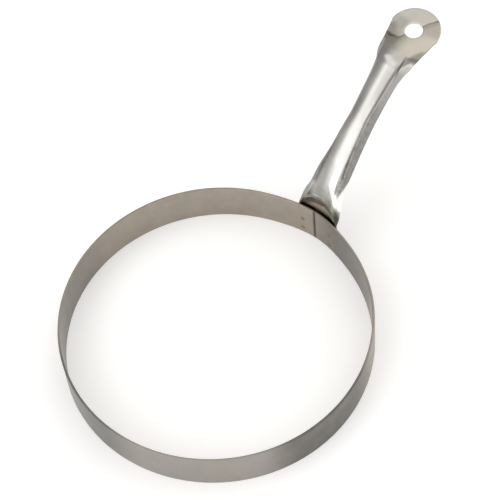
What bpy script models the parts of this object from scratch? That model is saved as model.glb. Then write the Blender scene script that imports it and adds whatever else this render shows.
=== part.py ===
"""Egg ring: a rolled steel band with a pressed channel handle spot-welded to its outside.

The band lies on the ground plane with its axis upright. The handle rises from the +Y side
of the band: a foot that hugs the band, a shaft pressed into a channel open downwards, and
a flat round-ended paddle with a hanging hole. Lengths are in metres.
"""
import math

import bmesh
import bpy
import numpy as np

MM = 0.001

# Sheet and fit
SHEET = 1.2 * MM
EDGE_ROUND = 0.25 * MM
CLEARANCE = 0.3 * MM

# Band
INNER_DIAMETER = 152.4 * MM
BAND_HEIGHT = 22.9 * MM
SEAM_GAP = 0.4 * MM
SEAM_SIDE_OFFSET = 1.4 * MM
SEAM_PEAK = 1.2 * MM
SEAM_PEAK_SPREAD = math.radians(12)
INNER_RADIUS = INNER_DIAMETER / 2
OUTER_RADIUS = INNER_RADIUS + SHEET

# Handle foot
FOOT_HALF_WIDTH = 12.5 * MM
FOOT_BOTTOM = 0.9 * MM
FOOT_CORNER = 3.0 * MM
FOOT_LEAN_START = 14.0 * MM
FOOT_LEAN = math.radians(3.0)
FOOT_WAIST = 6.5 * MM
FOOT_FILLET = 1.6 * MM

# Centreline of the handle's top face, from the foot's crease to the hanging hole
ROOT_HEIGHT = 32.3 * MM
ROOT_TILT = math.radians(58.0)
ROOT_BEND_RADIUS = 108.0 * MM
LOWER_SHAFT_TILT = math.radians(44.8)
LOWER_SHAFT = 12.7 * MM
SHAFT_BEND_RADIUS = 100.0 * MM
UPPER_SHAFT_TILT = math.radians(40.0)
UPPER_SHAFT = 30.6 * MM
PADDLE_BEND_RADIUS = 16.0 * MM
PADDLE_TILT = math.radians(6.5)
BEND_TO_HOLE = 13.8 * MM

# Paddle
PADDLE_RADIUS = 13.3 * MM
HOLE_DIAMETER = 9.0 * MM
HOLE_RADIUS = HOLE_DIAMETER / 2
PADDLE_START_TO_HOLE = 8.8 * MM

# Spot welds, two rows of two between the band and the foot
WELD_DIAMETER = 4.2 * MM
WELD_THICKNESS = 0.9 * MM
WELD_SIDE_OFFSET = 8.6 * MM
WELD_HEIGHTS = (4.2 * MM, 11.8 * MM)
WELD_SEAT_DEPTH = (WELD_THICKNESS + CLEARANCE) / 2
DIMPLE_DIAMETER = 3.4 * MM
DIMPLE_DEPTH = 0.14 * MM
DIMPLE_SHAPE = ((0.45, 1.0), (0.8, 0.55), (1.0, 0.0), (1.1, -1.0))

# Mesh fineness
FOOT_ROWS = 9
FOOT_SAMPLES = 37
CREASE_ROWS = 4
FINE_ROW = 1.25 * MM
PLAIN_ROW = 3.0 * MM
ROOT_ZONE = 8.0 * MM
PADDLE_ZONE = 24.0 * MM
SKEW_FADE = 16.0 * MM
BAND_STEPS = 180
EDGE_STEPS = 2
CROWN_COLUMNS = 4
SHOULDER_COLUMNS = 5
SIDE_COLUMNS = 2
TIP_STEPS = 30
FLANK_STEPS = 5
PADDLE_RINGS = 5
ROUND_STEPS = 28
SHARP_EDGE = math.radians(40)

# Cross-sections of the pressing along its centreline. Each row gives, for half of the
# section laid out flat from the middle: station, half width, length of the crown, length of
# the rounded shoulder, tilt where the crown ends and tilt of the side beyond the shoulder.
SECTIONS = (
    (-6.0 * MM, 13.7 * MM, 6.5 * MM, 4.5 * MM, math.radians(16), math.radians(42)),
    (0.0 * MM, 12.7 * MM, 6.4 * MM, 4.4 * MM, math.radians(16), math.radians(44)),
    (4.0 * MM, 11.8 * MM, 6.1 * MM, 4.1 * MM, math.radians(15), math.radians(57)),
    (10.0 * MM, 11.7 * MM, 6.6 * MM, 3.6 * MM, math.radians(15), math.radians(67)),
    (16.0 * MM, 11.9 * MM, 6.4 * MM, 3.1 * MM, math.radians(15), math.radians(72)),
    (28.0 * MM, 12.8 * MM, 5.2 * MM, 2.6 * MM, math.radians(15), math.radians(80)),
    (48.0 * MM, 12.8 * MM, 4.1 * MM, 2.5 * MM, math.radians(15), math.radians(82)),
    (60.0 * MM, 11.9 * MM, 4.5 * MM, 2.6 * MM, math.radians(15), math.radians(79)),
    (70.0 * MM, 11.9 * MM, 4.9 * MM, 2.7 * MM, math.radians(15), math.radians(77)),
    (76.0 * MM, 12.4 * MM, 5.3 * MM, 2.8 * MM, math.radians(15), math.radians(70)),
    (80.0 * MM, 12.7 * MM, 5.7 * MM, 3.3 * MM, math.radians(15), math.radians(60)),
    (84.0 * MM, 12.2 * MM, 5.9 * MM, 4.0 * MM, math.radians(15), math.radians(51)),
    (89.5 * MM, 12.2 * MM, 6.3 * MM, 4.2 * MM, math.radians(12), math.radians(38)),
    (94.0 * MM, 12.5 * MM, 6.8 * MM, 4.2 * MM, math.radians(9), math.radians(23)),
    (97.5 * MM, 12.8 * MM, 7.2 * MM, 4.2 * MM, math.radians(4), math.radians(11)),
    (100.5 * MM, PADDLE_RADIUS, 7.5 * MM, 4.2 * MM, 0.0, 0.0),
)
SECTION_EASE = 3.0 * MM
EASE_SAMPLES = 12
FOLD_SAMPLES = 240
CREASE_HALVINGS = 40
NORMAL_STEP = SHEET / 10


def clear_scene():
    for item in list(bpy.data.objects):
        bpy.data.objects.remove(item, do_unlink=True)


def smooth(value):
    """Eased share between 0 and 1."""
    share = min(max(value, 0.0), 1.0)
    return share * share * (3 - 2 * share)


def steel(name, colour, roughness):
    material = bpy.data.materials.new(name)
    material.use_nodes = True
    shader = material.node_tree.nodes["Principled BSDF"]
    shader.inputs["Base Color"].default_value = (*colour, 1.0)
    shader.inputs["Metallic"].default_value = 1.0
    shader.inputs["Roughness"].default_value = roughness
    return material


def add_object(name, points, faces, material):
    """Closed mesh object with outward faces and smooth shading broken at sharp edges."""
    mesh = bpy.data.meshes.new(name)
    mesh.from_pydata([tuple(point) for point in points], [], faces)
    shell = bmesh.new()
    shell.from_mesh(mesh)
    bmesh.ops.recalc_face_normals(shell, faces=shell.faces)
    shell.to_mesh(mesh)
    shell.free()
    mesh.shade_smooth()
    mesh.set_sharp_from_angle(angle=SHARP_EDGE)
    if material:
        mesh.materials.append(material)
    item = bpy.data.objects.new(name, mesh)
    bpy.context.scene.collection.objects.link(item)
    return item


def seam_peak(angle):
    """How far the band stands outside its circle where its stiff ends meet."""
    return SEAM_PEAK * math.exp(-((angle - math.pi / 2) / SEAM_PEAK_SPREAD) ** 2)


def rounded_strip_profile(inner, outer, bottom, top):
    """Closed outline of a strip's cross-section with rounded edges."""
    corners = (
        (outer, top, 0.0),
        (inner, top, math.pi / 2),
        (inner, bottom, math.pi),
        (outer, bottom, 3 * math.pi / 2),
    )
    middle_x = (inner + outer) / 2
    middle_z = (bottom + top) / 2
    outline = []
    for x, z, start in corners:
        centre_x = x - math.copysign(EDGE_ROUND, x - middle_x)
        centre_z = z - math.copysign(EDGE_ROUND, z - middle_z)
        for step in range(EDGE_STEPS + 1):
            angle = start + math.pi / 2 * step / EDGE_STEPS
            outline.append((centre_x + EDGE_ROUND * math.cos(angle),
                            centre_z + EDGE_ROUND * math.sin(angle)))
    return outline


def make_band():
    """Rolled strip whose two ends meet at a narrow butt seam behind the foot."""
    profile = rounded_strip_profile(INNER_RADIUS, OUTER_RADIUS, 0.0, BAND_HEIGHT)
    count = len(profile)
    half_gap = SEAM_GAP / 2 / OUTER_RADIUS
    seam = math.pi / 2 + SEAM_SIDE_OFFSET / OUTER_RADIUS
    points = []
    for step in range(BAND_STEPS + 1):
        share = step / BAND_STEPS
        angle = seam + half_gap + (2 * math.pi - 2 * half_gap) * share
        peak = seam_peak(angle) + seam_peak(angle - 2 * math.pi)
        for radius, z in profile:
            reach = radius + peak
            points.append((reach * math.cos(angle), reach * math.sin(angle), z))
    faces = [tuple(range(count)), tuple(range(BAND_STEPS * count, (BAND_STEPS + 1) * count))]
    for step in range(BAND_STEPS):
        for k in range(count):
            a = step * count + k
            b = step * count + (k + 1) % count
            faces.append((a, b, b + count, a + count))
    return add_object("ring_band", points, faces, steel("band_steel", (0.55, 0.51, 0.47), 0.32))


class Centreline:
    """Middle line of the handle's top face in the plane of symmetry."""

    STEP = 0.1 * MM

    def __init__(self):
        root_bend = ROOT_BEND_RADIUS * (ROOT_TILT - LOWER_SHAFT_TILT)
        shaft_bend = SHAFT_BEND_RADIUS * (LOWER_SHAFT_TILT - UPPER_SHAFT_TILT)
        paddle_bend = PADDLE_BEND_RADIUS * (UPPER_SHAFT_TILT - PADDLE_TILT)
        pieces = (
            (root_bend, 1 / ROOT_BEND_RADIUS),
            (LOWER_SHAFT, 0.0),
            (shaft_bend, 1 / SHAFT_BEND_RADIUS),
            (UPPER_SHAFT, 0.0),
            (paddle_bend, 1 / PADDLE_BEND_RADIUS),
            (BEND_TO_HOLE + 2 * PADDLE_RADIUS, 0.0),
        )
        ends = np.cumsum([length for length, bend in pieces])
        self.hole = ends[-2] + BEND_TO_HOLE
        self.station = np.arange(0.0, ends[-1], self.STEP)
        bends = np.array([bend for length, bend in pieces])
        where = np.searchsorted(ends, self.station, side="right")
        turn = np.concatenate(([0.0], np.cumsum(bends[where] * self.STEP)[:-1]))
        self.tilt = ROOT_TILT - turn
        along_y = np.cumsum(np.cos(self.tilt)) * self.STEP
        along_z = np.cumsum(np.sin(self.tilt)) * self.STEP
        start_y = foot_radius(ROOT_HEIGHT)
        self.y = start_y + np.concatenate(([0.0], along_y[:-1]))
        self.z = ROOT_HEIGHT + np.concatenate(([0.0], along_z[:-1]))

    def frame(self, station):
        """Point, direction and top-side normal; the line runs on straight below the root."""
        tilt = np.interp(station, self.station, self.tilt)
        back = min(station, 0.0)
        y = np.interp(station, self.station, self.y) + back * math.cos(ROOT_TILT)
        z = np.interp(station, self.station, self.z) + back * math.sin(ROOT_TILT)
        point = np.array([0.0, y, z])
        direction = np.array([0.0, math.cos(tilt), math.sin(tilt)])
        normal = np.array([0.0, -math.sin(tilt), math.cos(tilt)])
        return point, direction, normal


def foot_radius(height, angle=math.pi / 2):
    """Radius of the foot's face about the band's axis, leaning away above the welds."""
    lean = max(height - FOOT_LEAN_START, 0.0) * math.tan(FOOT_LEAN)
    return OUTER_RADIUS + seam_peak(angle) + CLEARANCE + lean


def foot_point(x, z):
    """Point of the foot's face that touches the band's outside but for the clearance."""
    y = OUTER_RADIUS
    for turn in range(4):
        radius = foot_radius(z, math.atan2(y, x))
        y = math.sqrt(radius * radius - x * x)
    return np.array([x, y, z])


class Pressing:
    """Top face of the pressed channel and paddle over its flat blank."""

    def __init__(self):
        self.line = Centreline()
        keys = np.array(SECTIONS)
        step = SECTION_EASE / EASE_SAMPLES
        self.station = np.arange(SECTIONS[0][0], self.line.station[-1], step)
        window = np.hanning(2 * EASE_SAMPLES + 1)
        window = window / window.sum()
        self.values = []
        for column in range(1, keys.shape[1]):
            value = np.interp(self.station, keys[:, 0], keys[:, column])
            padded = np.pad(value, len(window) // 2, mode="edge")
            self.values.append(np.convolve(padded, window, mode="valid"))

    def section(self, station):
        """Half width, crown, shoulder, crown tilt and side tilt at a station."""
        return [float(np.interp(station, self.station, value)) for value in self.values]

    def reaches(self, station):
        """Blank distances of the columns from the middle to the free edge."""
        half_width, crown, shoulder = self.section(station)[:3]
        marks = (0.0, crown, crown + shoulder, half_width)
        counts = (CROWN_COLUMNS, SHOULDER_COLUMNS, SIDE_COLUMNS)
        found = [0.0]
        for start, end, count in zip(marks[:-1], marks[1:], counts):
            found += [start + (end - start) * step / count for step in range(1, count + 1)]
        return found

    def point(self, station, reach):
        """Point of the top face at a station and a signed blank distance from the middle."""
        half_width, crown, shoulder, crown_tilt, side_tilt = self.section(station)
        fine = np.linspace(0.0, abs(reach), FOLD_SAMPLES)
        rise = np.clip(fine / crown, 0.0, 1.0) * crown_tilt
        fold = np.clip((fine - crown) / shoulder, 0.0, 1.0)
        tilt = rise + fold * (side_tilt - crown_tilt)
        tilt = (tilt[1:] + tilt[:-1]) / 2
        across = np.cos(tilt).sum() * fine[1] * math.copysign(1.0, reach)
        down = np.sin(tilt).sum() * fine[1]
        point, direction, normal = self.line.frame(station)
        return point + np.array([across, 0.0, 0.0]) - normal * down

    def normal(self, station, reach):
        """Direction away from the top face."""
        step = NORMAL_STEP
        along = self.point(station + step, reach) - self.point(station - step, reach)
        across = self.point(station, reach + step) - self.point(station, reach - step)
        normal = np.cross(across, along)
        return normal / np.linalg.norm(normal)

    def column(self, station, column):
        """Point of a numbered column; negative columns lie on the -X side."""
        reach = self.reaches(station)[abs(column)]
        return self.point(station, math.copysign(reach, column))

    def crease(self, column):
        """Station where a column runs into the foot's face."""
        low = -ROOT_HEIGHT / 2
        high = FOOT_FILLET
        for halving in range(CREASE_HALVINGS):
            middle = (low + high) / 2
            x, y, z = self.column(middle, column)
            if math.hypot(x, y) > foot_radius(z, math.atan2(y, x)):
                high = middle
            else:
                low = middle
        return (low + high) / 2


def foot_column(corner, share):
    """Column of points up the foot's face, ending at the crease."""
    low_x = FOOT_HALF_WIDTH * share
    inner = max(abs(low_x) - (FOOT_HALF_WIDTH - FOOT_CORNER), 0.0)
    low_z = FOOT_BOTTOM + FOOT_CORNER - math.sqrt(FOOT_CORNER ** 2 - inner ** 2)
    points = []
    for z in np.linspace(low_z, corner[2], FOOT_SAMPLES):
        narrowing = smooth(1 - (corner[2] - z) / FOOT_WAIST)
        points.append(foot_point(low_x + (corner[0] - low_x) * narrowing, z))
    return points


def crease_arc(before, corner, after, steps):
    """Curve that rounds the corner between the foot's face and the channel."""
    start = corner + (before - corner) / np.linalg.norm(before - corner) * FOOT_FILLET
    end = corner + (after - corner) / np.linalg.norm(after - corner) * FOOT_FILLET
    arc = []
    for step in range(steps + 1):
        t = step / steps
        arc.append((1 - t) ** 2 * start + 2 * t * (1 - t) * corner + t * t * end)
    return arc


def row_stations(neck):
    """Stations of the cross rows up the channel, closer where its shape changes."""
    stations = [FOOT_FILLET]
    while stations[-1] < neck - FINE_ROW / 2:
        even = ROOT_ZONE < stations[-1] < neck - PADDLE_ZONE
        stations.append(stations[-1] + (PLAIN_ROW if even else FINE_ROW))
    spread = (neck - stations[0]) / (stations[-1] - stations[0])
    return [stations[0] + (item - stations[0]) * spread for item in stations]


def handle_column(pressing, column, columns, neck):
    """All points of one lengthwise column of the handle's top face below the paddle."""
    crease = pressing.crease(column)
    skew = crease - pressing.crease(0)
    corner = pressing.column(crease, column)
    foot = foot_column(corner, column / columns)
    ahead = pressing.column(crease + FOOT_FILLET, column)
    arc = crease_arc(foot[-2], corner, ahead, CREASE_ROWS)
    straight = [point for point in foot if point[2] < arc[0][2] - EDGE_ROUND] + [arc[0]]
    rows = resample(straight, FOOT_ROWS)[:-1] + arc
    for station in row_stations(neck)[1:]:
        fading = 1 - smooth((station - FOOT_FILLET) / SKEW_FADE)
        rows.append(pressing.column(station + skew * fading, column))
    return rows


def resample(points, steps):
    """Same polyline with evenly spaced points."""
    path = np.array(points)
    lengths = np.concatenate(([0.0], np.cumsum(np.linalg.norm(np.diff(path, axis=0), axis=1))))
    marks = np.linspace(0.0, lengths[-1], steps + 1)
    return [np.array([np.interp(mark, lengths, path[:, axis]) for axis in range(3)])
            for mark in marks]


def paddle_outline(pressing, neck):
    """Outline of the blank beyond the last cross row as (station, reach) pairs."""
    hole = pressing.line.hole
    side = []
    for step in range(1, FLANK_STEPS):
        station = neck + (hole - neck) * step / FLANK_STEPS
        side.append((station, pressing.section(station)[0]))
    tip = []
    for step in range(TIP_STEPS + 1):
        angle = math.pi * step / TIP_STEPS
        tip.append((hole + PADDLE_RADIUS * math.sin(angle), PADDLE_RADIUS * math.cos(angle)))
    return side + tip + [(station, -reach) for station, reach in reversed(side)]


class Sheet:
    """Top face of a sheet piece, thickened downwards along its normals."""

    def __init__(self):
        self.points = []
        self.normals = []
        self.faces = []

    def add(self, point, normal):
        self.points.append(np.array(point))
        self.normals.append(np.array(normal) / np.linalg.norm(normal))
        return len(self.points) - 1

    def solid(self, borders):
        """Points and faces of the closed solid with its border edges rounded."""
        for border in borders:
            outward = self.outward(border)
            for index, direction in zip(border, outward):
                self.points[index] = self.points[index] - direction * EDGE_ROUND
        top = list(self.points)
        bottom = [point - normal * SHEET for point, normal in zip(top, self.normals)]
        points = top + bottom
        count = len(top)
        faces = list(self.faces) + [tuple(i + count for i in reversed(f)) for f in self.faces]
        for border in borders:
            outward = self.outward(border)
            loops = [list(border)]
            for reach, depth in self.edge_profile():
                loops.append([])
                for index, direction in zip(border, outward):
                    point = top[index] + direction * reach - self.normals[index] * depth
                    loops[-1].append(len(points))
                    points.append(point)
            loops.append([index + count for index in border])
            for first, second in zip(loops[:-1], loops[1:]):
                for k in range(len(border)):
                    j = (k + 1) % len(border)
                    faces.append((first[k], second[k], second[j], first[j]))
        return points, faces

    def outward(self, border):
        """Directions in the sheet's plane that point away from the material."""
        directions = []
        size = len(border)
        for k, index in enumerate(border):
            ahead = self.points[border[(k + 1) % size]]
            behind = self.points[border[k - 1]]
            direction = np.cross(ahead - behind, self.normals[index])
            directions.append(direction / np.linalg.norm(direction))
        return directions

    def edge_profile(self):
        """Reach and depth of the loops that round the two edges of the sheet."""
        steps = range(1, EDGE_STEPS + 1)
        quarter = [math.pi / 2 * step / EDGE_STEPS for step in steps]
        upper = [(EDGE_ROUND * math.sin(a), EDGE_ROUND * (1 - math.cos(a))) for a in quarter]
        lower = [(reach, SHEET - depth) for reach, depth in reversed(upper)]
        return upper + lower


def grid_normals(grid):
    """Top-side normals of a grid of points given as rows of columns."""
    along = np.gradient(grid, axis=0)
    across = np.gradient(grid, axis=1)
    normals = np.cross(across, along)
    return normals / np.linalg.norm(normals, axis=2, keepdims=True)


def make_handle():
    """One pressing: foot, crease, channel, flat paddle and its hanging hole."""
    pressing = Pressing()
    neck = pressing.line.hole - PADDLE_START_TO_HOLE
    columns = CROWN_COLUMNS + SHOULDER_COLUMNS + SIDE_COLUMNS
    span = range(-columns, columns + 1)
    grid = np.array([handle_column(pressing, column, columns, neck) for column in span])
    grid = np.swapaxes(grid, 0, 1)
    reaches = pressing.reaches(neck)
    last = [(neck, math.copysign(reaches[abs(column)], column)) for column in span]
    normals = grid_normals(grid)
    normals[-1] = [pressing.normal(*place) for place in last]
    sheet = Sheet()
    rows = [[sheet.add(p, n) for p, n in zip(row, row_n)] for row, row_n in zip(grid, normals)]
    for lower, upper in zip(rows[:-1], rows[1:]):
        for k in range(len(lower) - 1):
            sheet.faces.append((lower[k], lower[k + 1], upper[k + 1], upper[k]))
    rim, hole = add_paddle(sheet, pressing, last, rows[-1])
    right_side = [row[-1] for row in rows[1:-1]]
    left_side = [row[0] for row in reversed(rows[1:-1])]
    border = rows[0] + right_side + rim + left_side
    points, faces = sheet.solid([border, hole])
    return add_object("handle", points, faces, steel("handle_steel", (0.66, 0.65, 0.63), 0.2))


def add_paddle(sheet, pressing, last, last_row):
    """Rings of faces from the channel's last row and the outline to the hanging hole."""
    hole = pressing.line.hole
    outline = last + paddle_outline(pressing, last[0][0])
    rings = []
    for ring in range(PADDLE_RINGS + 1):
        share = ring / PADDLE_RINGS
        indices = []
        for station, reach in outline:
            spoke = math.hypot(station - hole, reach)
            scale = (spoke + (HOLE_RADIUS - spoke) * share) / spoke
            place = (hole + (station - hole) * scale, reach * scale)
            if ring == 0 and len(indices) < len(last_row):
                indices.append(last_row[len(indices)])
            else:
                indices.append(sheet.add(pressing.point(*place), pressing.normal(*place)))
        rings.append(indices)
    for outer, inner in zip(rings[:-1], rings[1:]):
        for k in range(len(outer)):
            j = (k + 1) % len(outer)
            sheet.faces.append((outer[k], outer[j], inner[j], inner[k]))
    rim = rings[0][len(last_row) - 1:] + [last_row[0]]
    return rim, list(reversed(rings[-1]))


def turned(profile, place, direction, steps):
    """Round solid from (radius, height) pairs, standing on a place along a direction."""
    axis = np.array(direction)
    side = np.cross(axis, (0.0, 0.0, 1.0))
    side = side / np.linalg.norm(side)
    other = np.cross(axis, side)
    points = []
    faces = []
    for radius, height in profile:
        for step in range(steps):
            angle = 2 * math.pi * step / steps
            spoke = side * math.cos(angle) + other * math.sin(angle)
            points.append(np.array(place) + axis * height + spoke * radius)
    for ring in range(len(profile) - 1):
        for step in range(steps):
            a = ring * steps + step
            b = ring * steps + (step + 1) % steps
            faces.append((a, b, b + steps, a + steps))
    faces.append(tuple(range(steps)))
    faces.append(tuple(range((len(profile) - 1) * steps, len(profile) * steps)))
    return points, faces


def weld_places():
    """Middle of each weld between the two sheets, its outward direction and its name."""
    places = []
    for side, side_name in ((-1, "left"), (1, "right")):
        angle = math.pi / 2 - side * math.asin(WELD_SIDE_OFFSET / OUTER_RADIUS)
        middle_radius = OUTER_RADIUS + seam_peak(angle) + CLEARANCE / 2
        direction = (math.cos(angle), math.sin(angle), 0.0)
        for height, row_name in zip(WELD_HEIGHTS, ("lower", "upper")):
            place = (middle_radius * direction[0], middle_radius * direction[1], height)
            places.append((place, direction, f"spot_weld_{row_name}_{side_name}"))
    return places


def make_welds():
    """Flat round nuggets, each with softened edges."""
    material = steel("weld_steel", (0.36, 0.33, 0.3), 0.45)
    radius = WELD_DIAMETER / 2
    half = WELD_THICKNESS / 2
    soft = half / 2
    profile = ((radius - soft, -half), (radius, -half + soft), (radius, half - soft),
               (radius - soft, half))
    for place, direction, name in weld_places():
        points, faces = turned(profile, place, direction, ROUND_STEPS)
        add_object(name, points, faces, material)


def make_cutter(name, profile):
    """One hidden cutter holding the same turned shape at each weld."""
    points = []
    faces = []
    for place, direction, weld_name in weld_places():
        more, more_faces = turned(profile, place, direction, ROUND_STEPS)
        faces += [tuple(index + len(points) for index in face) for face in more_faces]
        points += more
    cutter = add_object(name, points, faces, None)
    cutter.hide_render = True
    cutter.display_type = "WIRE"
    return cutter


def cut(item, cutter):
    modifier = item.modifiers.new(cutter.name, "BOOLEAN")
    modifier.operation = "DIFFERENCE"
    modifier.solver = "EXACT"
    modifier.object = cutter


def cut_weld_marks(band, handle):
    """Seats for the nuggets in both sheets and shallow dimples inside the band."""
    seat_radius = WELD_DIAMETER / 2 + CLEARANCE
    seat_reach = CLEARANCE / 2 + WELD_SEAT_DEPTH
    seats = make_cutter("weld_seats", ((seat_radius, -seat_reach), (seat_radius, seat_reach)))
    inside = -SHEET - CLEARANCE / 2
    dimple = [(DIMPLE_DIAMETER / 2 * width, inside + DIMPLE_DEPTH * depth)
              for width, depth in DIMPLE_SHAPE]
    dimples = make_cutter("weld_dimples", dimple)
    cut(band, seats)
    cut(band, dimples)
    cut(handle, seats)


def centre_on_ground():
    """Moves every piece so that the object's box is centred over the origin."""
    shown = [item for item in bpy.data.objects if not item.hide_render]
    corners = np.array([vertex.co for item in shown for vertex in item.data.vertices])
    middle = (corners.min(axis=0) + corners.max(axis=0)) / 2
    for item in bpy.data.objects:
        item.location.x = -middle[0]
        item.location.y = -middle[1]


def main():
    clear_scene()
    band = make_band()
    handle = make_handle()
    make_welds()
    cut_weld_marks(band, handle)
    centre_on_ground()


main()
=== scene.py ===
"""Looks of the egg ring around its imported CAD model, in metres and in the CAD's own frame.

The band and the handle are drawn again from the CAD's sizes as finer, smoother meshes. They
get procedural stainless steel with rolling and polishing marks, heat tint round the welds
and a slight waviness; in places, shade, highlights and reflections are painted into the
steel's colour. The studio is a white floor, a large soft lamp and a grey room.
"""
import math

import bmesh
import bpy
import numpy as np
from mathutils import Matrix, Vector


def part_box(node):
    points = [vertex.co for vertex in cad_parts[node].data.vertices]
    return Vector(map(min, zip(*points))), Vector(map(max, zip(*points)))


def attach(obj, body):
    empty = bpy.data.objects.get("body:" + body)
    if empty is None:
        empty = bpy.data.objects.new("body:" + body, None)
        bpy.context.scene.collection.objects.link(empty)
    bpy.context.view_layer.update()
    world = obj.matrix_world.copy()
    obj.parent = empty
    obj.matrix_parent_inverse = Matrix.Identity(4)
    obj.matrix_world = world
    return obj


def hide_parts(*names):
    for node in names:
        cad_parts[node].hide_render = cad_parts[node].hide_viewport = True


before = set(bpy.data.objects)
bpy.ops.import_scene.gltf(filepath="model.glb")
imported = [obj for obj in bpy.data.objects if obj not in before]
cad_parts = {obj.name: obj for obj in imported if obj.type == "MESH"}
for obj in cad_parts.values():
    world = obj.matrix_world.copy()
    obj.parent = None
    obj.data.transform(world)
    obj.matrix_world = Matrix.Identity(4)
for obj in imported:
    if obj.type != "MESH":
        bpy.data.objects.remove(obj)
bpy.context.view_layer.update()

MM = 0.001

# Sheet and fit, as in the CAD
SHEET = 1.2 * MM
EDGE_ROUND = 0.25 * MM
CLEARANCE = 0.3 * MM
FACET_FIT = 0.02 * MM

# Band
INNER_RADIUS = 76.2 * MM
OUTER_RADIUS = INNER_RADIUS + SHEET
BAND_HEIGHT = 22.9 * MM
SEAM_GAP = 0.4 * MM
SEAM_SIDE_OFFSET = 1.4 * MM
SEAM_PEAK = 1.2 * MM
SEAM_PEAK_SPREAD = math.radians(12)

# Handle foot
FOOT_HALF_WIDTH = 12.5 * MM
FOOT_BOTTOM = 0.9 * MM
FOOT_CORNER = 3.0 * MM
FOOT_LEAN_START = 14.0 * MM
FOOT_LEAN = math.radians(3.0)
FOOT_WAIST = 6.5 * MM
FOOT_FILLET = 1.6 * MM
FOOT_FIT_ROUNDS = 4

# Centreline of the handle's top face
ROOT_HEIGHT = 32.3 * MM
ROOT_TILT = math.radians(58.0)
ROOT_BEND_RADIUS = 108.0 * MM
LOWER_SHAFT_TILT = math.radians(44.8)
LOWER_SHAFT = 12.7 * MM
SHAFT_BEND_RADIUS = 100.0 * MM
UPPER_SHAFT_TILT = math.radians(40.0)
UPPER_SHAFT = 30.6 * MM
PADDLE_BEND_RADIUS = 16.0 * MM
PADDLE_TILT = math.radians(6.5)
BEND_TO_HOLE = 13.8 * MM

# Paddle
PADDLE_RADIUS = 13.3 * MM
HOLE_RADIUS = 4.5 * MM
PADDLE_START_TO_HOLE = 8.8 * MM
TIP_RADIUS = PADDLE_RADIUS - FACET_FIT

# Spot welds
WELD_SIDE_OFFSET = 8.6 * MM
WELD_HEIGHTS = (4.2 * MM, 11.8 * MM)
DIMPLE_RADIUS = 1.7 * MM
DIMPLE_DEPTH = 0.14 * MM

# Cross-sections of the pressing, as in the CAD: station, half width, crown, shoulder, tilt
# where the crown ends and tilt of the side
SECTIONS = (
    (-6.0 * MM, 13.7 * MM, 6.5 * MM, 4.5 * MM, math.radians(16), math.radians(42)),
    (0.0 * MM, 12.7 * MM, 6.4 * MM, 4.4 * MM, math.radians(16), math.radians(44)),
    (4.0 * MM, 11.8 * MM, 6.1 * MM, 4.1 * MM, math.radians(15), math.radians(57)),
    (10.0 * MM, 11.7 * MM, 6.6 * MM, 3.6 * MM, math.radians(15), math.radians(67)),
    (16.0 * MM, 11.9 * MM, 6.4 * MM, 3.1 * MM, math.radians(15), math.radians(72)),
    (28.0 * MM, 12.8 * MM, 5.2 * MM, 2.6 * MM, math.radians(15), math.radians(80)),
    (48.0 * MM, 12.8 * MM, 4.1 * MM, 2.5 * MM, math.radians(15), math.radians(82)),
    (60.0 * MM, 11.9 * MM, 4.5 * MM, 2.6 * MM, math.radians(15), math.radians(79)),
    (70.0 * MM, 11.9 * MM, 4.9 * MM, 2.7 * MM, math.radians(15), math.radians(77)),
    (76.0 * MM, 12.4 * MM, 5.3 * MM, 2.8 * MM, math.radians(15), math.radians(70)),
    (80.0 * MM, 12.7 * MM, 5.7 * MM, 3.3 * MM, math.radians(15), math.radians(60)),
    (84.0 * MM, 12.2 * MM, 5.9 * MM, 4.0 * MM, math.radians(15), math.radians(51)),
    (89.5 * MM, 12.2 * MM, 6.3 * MM, 4.2 * MM, math.radians(12), math.radians(38)),
    (94.0 * MM, 12.5 * MM, 6.8 * MM, 4.2 * MM, math.radians(9), math.radians(23)),
    (97.5 * MM, 12.8 * MM, 7.2 * MM, 4.2 * MM, math.radians(4), math.radians(11)),
    (100.5 * MM, PADDLE_RADIUS, 7.5 * MM, 4.2 * MM, 0.0, 0.0),
)
SECTION_EASE = 3.0 * MM
EASE_SAMPLES = 12
FOLD_SAMPLES = 240
CREASE_HALVINGS = 40
NORMAL_STEP = SHEET / 10

# Mesh fineness
FOOT_ROWS = 30
FOOT_SAMPLES = 61
CREASE_ROWS = 10
ROW = 0.7 * MM
SKEW_FADE = 16.0 * MM
EDGE_STEPS = 4
CROWN_COLUMNS = 8
SHOULDER_COLUMNS = 10
SIDE_COLUMNS = 6
TIP_STEPS = 80
FLANK_STEPS = 10
PADDLE_RINGS = 14
WALL_ROWS = 48
SEAM_ZONE = math.radians(13)
FINE_STEP = math.radians(0.3)
COARSE_STEP = math.radians(1.2)
SHARP_EDGE = math.radians(40)

# Where the band's axis stands in the CAD's frame
BAND_AXIS_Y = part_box("ring_band")[0][1] + OUTER_RADIUS

# Map of places on the flat sheet, in tenths of a metre
SHEET_MAP = "sheet"
SHEET_MAP_SCALE = 10.0


# Shapes

def smooth(value):
    """Eased share between 0 and 1."""
    share = min(max(value, 0.0), 1.0)
    return share * share * (3 - 2 * share)


def add_piece(name, points, faces, sheet_places, material):
    """Smooth closed mesh moved to the band's axis, with a map of places on the flat sheet."""
    mesh = bpy.data.meshes.new(name)
    shift = np.array([0.0, BAND_AXIS_Y, 0.0])
    mesh.from_pydata([tuple(point + shift) for point in points], [], faces)
    shell = bmesh.new()
    shell.from_mesh(mesh)
    bmesh.ops.recalc_face_normals(shell, faces=shell.faces)
    shell.to_mesh(mesh)
    shell.free()
    layer = mesh.uv_layers.new(name=SHEET_MAP)
    for loop in mesh.loops:
        u, v = sheet_places[loop.vertex_index]
        layer.data[loop.index].uv = (u * SHEET_MAP_SCALE, v * SHEET_MAP_SCALE)
    mesh.shade_smooth()
    mesh.set_sharp_from_angle(angle=SHARP_EDGE)
    mesh.materials.append(material)
    item = bpy.data.objects.new(name, mesh)
    bpy.context.scene.collection.objects.link(item)
    return item


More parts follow.
